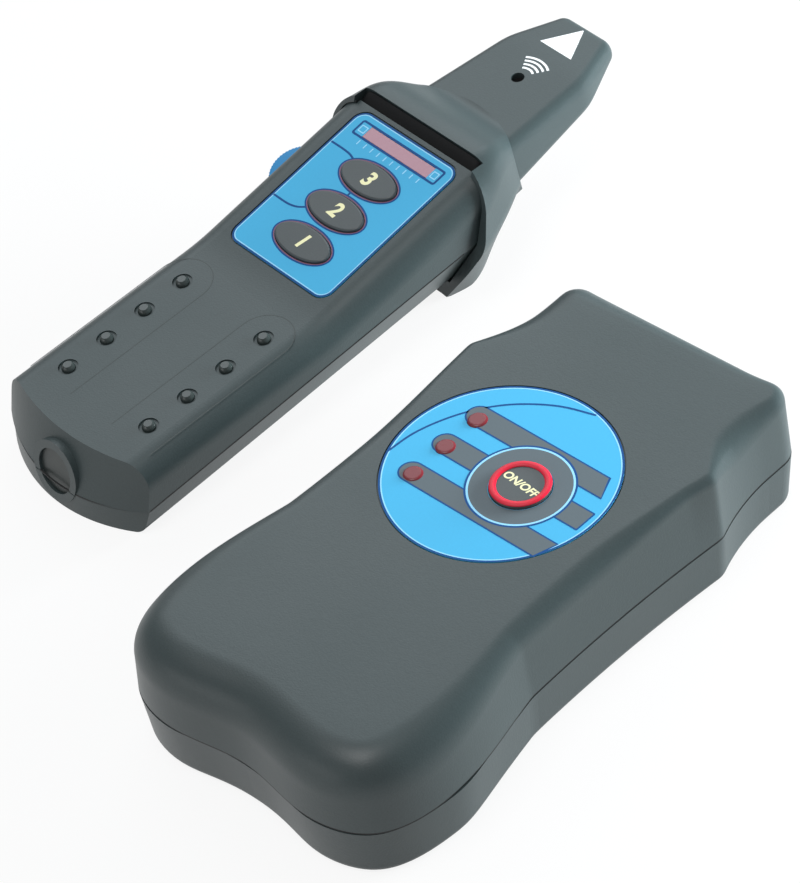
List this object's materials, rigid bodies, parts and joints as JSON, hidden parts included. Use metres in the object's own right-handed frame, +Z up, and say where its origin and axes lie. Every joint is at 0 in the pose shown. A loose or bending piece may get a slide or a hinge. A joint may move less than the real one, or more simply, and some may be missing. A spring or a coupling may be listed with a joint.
{
  "type": "cable locator",
  "caption": "Two-unit cable locator: a hand-held wedge receiver with a pointed nose, keys and light bar, and a waisted transmitter box with lamps, a round label and plug sockets.",
  "frame": {"origin": "on the transmitter's underside at the middle of its length and width", "axes": "+Z up, +Y along the transmitter from its two-lobed end to the end with the sockets, +X across it; the receiver stands beside it on the -X side"},
  "size_m": [0.1736, 0.2187, 0.0376],
  "materials": {
    "casing": "fine-grained satin grey casing plastic",
    "dark_plastic": "dark grey moulded plastic",
    "label": "printed polyester film, light blue",
    "red_rubber": "red silicone key",
    "key_rubber": "dark grey silicone keys",
    "lamp": "tinted epoxy lamp lens",
    "window": "red tinted clear plastic window",
    "bargraph": "light bar body",
    "board": "glass-fibre circuit board",
    "black_plastic": "black moulded plastic",
    "red_plastic": "red moulded plastic",
    "ferrite": "sintered ferrite",
    "copper": "enamelled copper wire",
    "steel": "zinc plated steel",
    "plated_brass": "nickel plated brass",
    "plated_steel": "nickel plated spring steel",
    "cell_wrap": "printed cell wrap",
    "blue_plastic": "blue moulded plastic"
  },
  "bodies": {
    "transmitter": {"tx_battery_contacts": "plated_steel", "tx_battery_door": "casing", "tx_board": "board", "tx_board_screws": "steel", "tx_bottom_shell": "casing", "tx_case_screws": "steel", "tx_cells": "cell_wrap", "tx_coil_core": "ferrite", "tx_coil_winding": "copper", "tx_door_screws": "steel", "tx_key_switch": "black_plastic", "tx_label": "label", "tx_lamp_battery": "lamp", "tx_lamp_load": "lamp", "tx_lamp_output": "lamp", "tx_socket_black": "black_plastic", "tx_socket_nuts": "plated_brass", "tx_socket_red": "red_plastic", "tx_top_shell": "casing"},
    "power_key": {"tx_power_key": "red_rubber"},
    "receiver": {"rx_bargraph": "bargraph", "rx_battery_contacts": "plated_steel", "rx_battery_door": "casing", "rx_board": "board", "rx_board_screws": "steel", "rx_bottom_shell": "casing", "rx_buzzer": "black_plastic", "rx_case_screws": "steel", "rx_cells": "cell_wrap", "rx_collar": "casing", "rx_door_screws": "steel", "rx_grip_studs": "dark_plastic", "rx_key_switches": "black_plastic", "rx_label": "label", "rx_nose": "casing", "rx_pot": "black_plastic", "rx_sensor_core": "ferrite", "rx_sensor_winding": "copper", "rx_tail_plug": "dark_plastic", "rx_top_shell": "casing", "rx_window": "window"},
    "key_low": {"rx_key_low": "key_rubber"},
    "key_middle": {"rx_key_middle": "key_rubber"},
    "key_high": {"rx_key_high": "key_rubber"},
    "wheel": {"rx_thumbwheel": "blue_plastic", "rx_pot_shaft": "steel"}
  },
  "joints": [
    {"name": "power_key_press", "type": "slide", "parent": "transmitter", "child": "power_key", "axis": [0, 0, 1], "range_m": [-0.0004, 0], "stiffness_N_per_m": 900},
    {"name": "receiver_lift", "type": "slide", "parent": "transmitter", "child": "receiver", "axis": [0, 0, 1], "range_m": [0, 0.12]},
    {"name": "key_low_press", "type": "slide", "parent": "receiver", "child": "key_low", "axis": [-0.0166, -0.209, 0.9778], "range_m": [-0.0004, 0], "stiffness_N_per_m": 900},
    {"name": "key_middle_press", "type": "slide", "parent": "receiver", "child": "key_middle", "axis": [-0.0166, -0.209, 0.9778], "range_m": [-0.0004, 0], "stiffness_N_per_m": 900},
    {"name": "key_high_press", "type": "slide", "parent": "receiver", "child": "key_high", "axis": [-0.0166, -0.209, 0.9778], "range_m": [-0.0004, 0], "stiffness_N_per_m": 900},
    {"name": "wheel_turn", "type": "hinge", "parent": "receiver", "child": "wheel", "pos_m": [-0.11838, 0.06724, 0.02305], "axis": [-0.0166, -0.209, 0.9778], "range_deg": [-135, 135]}
  ]
}
